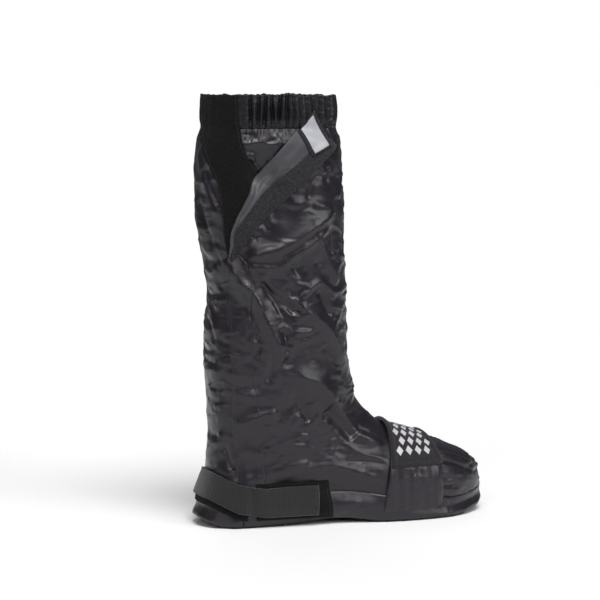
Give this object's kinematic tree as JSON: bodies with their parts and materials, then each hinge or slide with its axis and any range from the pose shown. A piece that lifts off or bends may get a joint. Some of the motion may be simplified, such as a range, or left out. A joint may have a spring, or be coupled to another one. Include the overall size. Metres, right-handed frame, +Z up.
{
  "type": "waterproof overboot",
  "caption": "Tall waterproof fabric overboot with a turned-back storm flap, loop tape, heel strap, forefoot band with a raised rubber pad and a thin treaded sole.",
  "frame": {"origin": "on the floor, at the middle of the heel's tread block", "axes": "+X towards the toe, +Y towards the inner side of the foot, +Z up the shaft"},
  "size_m": [0.3227, 0.1222, 0.452],
  "materials": {
    "coated_nylon": "satin",
    "loop_tape": "fuzzy",
    "hook_tape": "matte",
    "webbing": "matte",
    "reflective_cloth": "satin",
    "shift_pad_rubber": "matte",
    "sole_rubber": "matte"
  },
  "bodies": {
    "root": {"upper": "coated_nylon", "outsole": "sole_rubber", "rand": "coated_nylon", "loop_tape": "loop_tape", "storm_flap": "coated_nylon", "hook_tape": "hook_tape", "pull_tab": "reflective_cloth", "forefoot_band": "coated_nylon", "shift_pad": "shift_pad_rubber", "heel_loop": "loop_tape", "side_loop": "loop_tape", "heel_strap": "webbing"}
  },
  "joints": []
}
